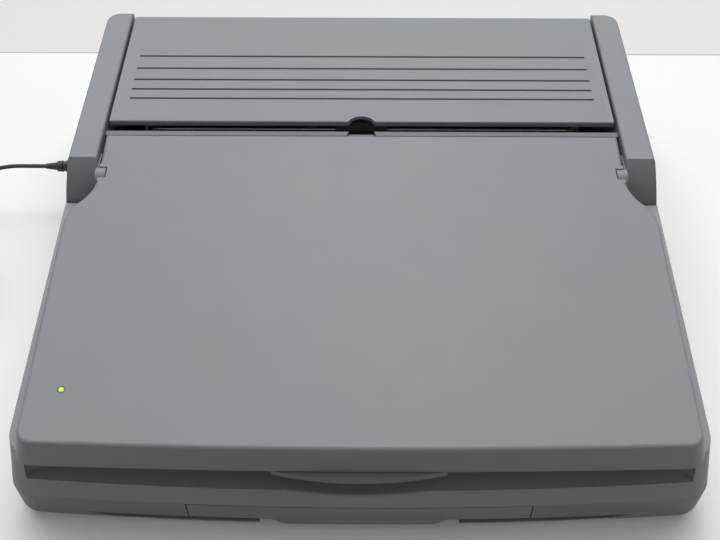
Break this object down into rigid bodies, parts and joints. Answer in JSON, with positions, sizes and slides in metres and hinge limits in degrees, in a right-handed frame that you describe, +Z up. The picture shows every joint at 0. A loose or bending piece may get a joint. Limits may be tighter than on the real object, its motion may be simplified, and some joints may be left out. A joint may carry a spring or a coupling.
{
  "type": "portable word processor",
  "caption": "Portable word processor with a flip-up screen lid over a keyboard, a grooved printer cover between side towers, a pull-out front handle and a low-voltage lead.",
  "frame": {"origin": "on the surface it stands on, under the middle of the case, measured without the cord", "axes": "+X to the user's right, +Y to the rear where the printer is, +Z up"},
  "size_m": [0.5374, 0.34, 0.0917],
  "materials": {
    "tray_plastic": "moulded, fine grain",
    "case_plastic": "moulded, fine grain",
    "painted_shell": "satin grey metallic paint on plastic",
    "dark_plastic": "moulded dark grey",
    "black_rubber": "matt",
    "bright_steel": "plated sheet steel",
    "screen_glass": "matt screen glass",
    "lamp_lens": "glowing yellow-green lens",
    "circuit_board": "green laminate",
    "black_plastic": "moulded black",
    "white_nylon": "natural nylon",
    "grey_plastic": "moulded grey",
    "key_plastic": "fine-grained keycaps",
    "cord_plastic": "black flexible PVC",
    "tie_plastic": "black band",
    "nickel_blades": "nickel plated"
  },
  "bodies": {
    "case": {"base_tray": "tray_plastic", "rubber_feet": "black_rubber", "case_screws": "bright_steel", "handle_guides": "dark_plastic", "deck_case": "case_plastic", "hinge_trough": "case_plastic", "tower_right": "painted_shell", "tower_left": "painted_shell", "rear_panel": "painted_shell", "hinge_pins": "bright_steel", "hinge_knuckles": "painted_shell", "keyboard_plate": "bright_steel", "main_board": "circuit_board", "power_board": "circuit_board", "speaker": "black_plastic", "floppy_drive": "black_plastic", "printer_chassis": "bright_steel", "guide_shafts": "bright_steel", "feed_motor": "bright_steel", "carriage_motor": "bright_steel", "carriage_belt": "black_rubber", "dc_jack": "black_plastic", "dc_plug": "cord_plastic", "cord_lead": "cord_plastic", "cord_coil": "cord_plastic", "cord_tie": "tie_plastic", "adapter_case": "cord_plastic", "adapter_blades": "nickel_blades"},
    "lid": {"lid_shell": "painted_shell", "lid_bezel": "dark_plastic", "lcd_panel": "screen_glass", "lcd_frame": "bright_steel", "led_lens": "lamp_lens", "lid_bumpers": "black_rubber", "hinge_arms": "bright_steel"},
    "latch": {"latch_bar": "dark_plastic"},
    "dial": {"contrast_dial": "black_plastic"},
    "cover": {"printer_cover": "painted_shell"},
    "handle": {"carrying_handle": "dark_plastic"},
    "eject": {"eject_button": "black_plastic"},
    "shutter": {"floppy_shutter": "black_plastic"},
    "switch": {"power_switch": "black_plastic"},
    "platen": {"platen_roller": "black_rubber", "platen_gear": "white_nylon"},
    "idler": {"idler_gear": "white_nylon"},
    "pinion": {"motor_pinion": "white_nylon"},
    "carriage": {"print_carriage": "grey_plastic", "thermal_head": "bright_steel", "ribbon_cassette": "grey_plastic"},
    "pulley_right": {"drive_pulley": "white_nylon"},
    "pulley_left": {"idle_pulley": "white_nylon"},
    "bail": {"paper_bail": "bright_steel"},
    "function_keys_body": {"function_keys": "key_plastic"},
    "number_keys_body": {"number_keys": "key_plastic"},
    "upper_row_keys_body": {"upper_row_keys": "key_plastic"},
    "home_row_keys_body": {"home_row_keys": "key_plastic"},
    "lower_row_keys_body": {"lower_row_keys": "key_plastic"},
    "bottom_row_keys_body": {"bottom_row_keys": "key_plastic"},
    "space_bar_body": {"space_bar": "key_plastic"},
    "cursor_keys_body": {"cursor_keys": "key_plastic"}
  },
  "joints": [
    {"name": "lid_hinge", "type": "hinge", "parent": "case", "child": "lid", "pos_m": [0, 0.0165, 0.0822], "axis": [-1, 0, 0], "range_deg": [0, 115]},
    {"name": "latch_slide", "type": "slide", "parent": "lid", "child": "latch", "axis": [0, -1, 0], "range_m": [0, 0.003], "stiffness_N_per_m": 300},
    {"name": "contrast_turn", "type": "hinge", "parent": "lid", "child": "dial", "pos_m": [0.135, -0.04285, 0.07242], "axis": [1, 0, 0], "range_deg": [-140, 140]},
    {"name": "cover_hinge", "type": "hinge", "parent": "case", "child": "cover", "pos_m": [0, 0.162, 0.0837], "axis": [-1, 0, 0], "range_deg": [0, 95]},
    {"name": "handle_slide", "type": "slide", "parent": "case", "child": "handle", "axis": [0, -1, 0], "range_m": [0, 0.042]},
    {"name": "eject_push", "type": "slide", "parent": "case", "child": "eject", "axis": [-1, 0, 0], "range_m": [0, 0.004], "stiffness_N_per_m": 400},
    {"name": "shutter_swing", "type": "hinge", "parent": "case", "child": "shutter", "pos_m": [0.1826, -0.009, 0.0209], "axis": [0, 1, 0], "range_deg": [0, 80], "stiffness_Nm_per_rad": 0.002},
    {"name": "power_slide", "type": "slide", "parent": "case", "child": "switch", "axis": [0, 1, 0], "range_m": [0, 0.006]},
    {"name": "platen_turn", "type": "hinge", "parent": "case", "child": "platen", "pos_m": [0, 0.128, 0.062], "axis": [1, 0, 0], "continuous": true},
    {"name": "idler_turn", "type": "hinge", "parent": "case", "child": "idler", "pos_m": [-0.1449, 0.15262, 0.05766], "axis": [1, 0, 0], "continuous": true},
    {"name": "pinion_turn", "type": "hinge", "parent": "case", "child": "pinion", "pos_m": [-0.1449, 0.15262, 0.04166], "axis": [1, 0, 0], "continuous": true},
    {"name": "carriage_slide", "type": "slide", "parent": "case", "child": "carriage", "axis": [1, 0, 0], "range_m": [-0.09, 0.09]},
    {"name": "drive_pulley_turn", "type": "hinge", "parent": "case", "child": "pulley_right", "pos_m": [0.126, 0.101, 0.0435], "axis": [0, 0, 1], "range_deg": [-720, 720]},
    {"name": "idle_pulley_turn", "type": "hinge", "parent": "case", "child": "pulley_left", "pos_m": [-0.126, 0.101, 0.0435], "axis": [0, 0, 1], "range_deg": [-720, 720]},
    {"name": "bail_lift", "type": "hinge", "parent": "case", "child": "bail", "pos_m": [0, 0.149, 0.076], "axis": [-1, 0, 0], "range_deg": [0, 24]},
    {"name": "function_press", "type": "slide", "parent": "case", "child": "function_keys_body", "axis": [0, 0.0917, -0.9958], "range_m": [0, 0.003], "stiffness_N_per_m": 250},
    {"name": "number_press", "type": "slide", "parent": "case", "child": "number_keys_body", "axis": [0, 0.0917, -0.9958], "range_m": [0, 0.003], "stiffness_N_per_m": 250},
    {"name": "upper_row_press", "type": "slide", "parent": "case", "child": "upper_row_keys_body", "axis": [0, 0.0917, -0.9958], "range_m": [0, 0.003], "stiffness_N_per_m": 250},
    {"name": "home_row_press", "type": "slide", "parent": "case", "child": "home_row_keys_body", "axis": [0, 0.0917, -0.9958], "range_m": [0, 0.003], "stiffness_N_per_m": 250},
    {"name": "lower_row_press", "type": "slide", "parent": "case", "child": "lower_row_keys_body", "axis": [0, 0.0917, -0.9958], "range_m": [0, 0.003], "stiffness_N_per_m": 250},
    {"name": "bottom_row_press", "type": "slide", "parent": "case", "child": "bottom_row_keys_body", "axis": [0, 0.0917, -0.9958], "range_m": [0, 0.003], "stiffness_N_per_m": 250},
    {"name": "space_press", "type": "slide", "parent": "case", "child": "space_bar_body", "axis": [0, 0.0917, -0.9958], "range_m": [0, 0.003], "stiffness_N_per_m": 250},
    {"name": "cursor_press", "type": "slide", "parent": "case", "child": "cursor_keys_body", "axis": [0, 0.0917, -0.9958], "range_m": [0, 0.003], "stiffness_N_per_m": 250}
  ],
  "couplings": [
    {"joint": "idler_turn", "follows": "platen_turn", "ratio": -1.5},
    {"joint": "pinion_turn", "follows": "platen_turn", "ratio": 2.5},
    {"joint": "drive_pulley_turn", "follows": "carriage_slide", "rad_per_m": 136.99},
    {"joint": "idle_pulley_turn", "follows": "carriage_slide", "rad_per_m": 136.99}
  ]
}
